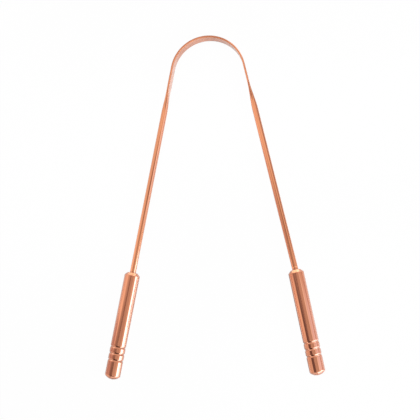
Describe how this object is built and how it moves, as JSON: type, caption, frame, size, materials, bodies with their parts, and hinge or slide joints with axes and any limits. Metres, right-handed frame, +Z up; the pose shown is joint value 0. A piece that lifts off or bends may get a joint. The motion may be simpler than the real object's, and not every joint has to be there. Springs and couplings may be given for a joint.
{
  "type": "tongue scraper",
  "caption": "Bow-shaped tongue scraper: a copper rod pressed flat at its crown as the blade, with a turned, grooved copper grip on each end.",
  "frame": {"origin": "on the surface that the scraper lies flat on, under the middle of its overall length and width", "axes": "+Y towards the crown of the blade, +Z up from the surface and across the blade's width, +X towards the grip that toes in"},
  "size_m": [0.09, 0.1424, 0.0064],
  "materials": {
    "rod_copper": "drawn and polished copper",
    "grip_copper": "turned and polished copper"
  },
  "bodies": {
    "root": {"bow": "rod_copper", "left_grip": "grip_copper", "right_grip": "grip_copper"}
  },
  "joints": []
}
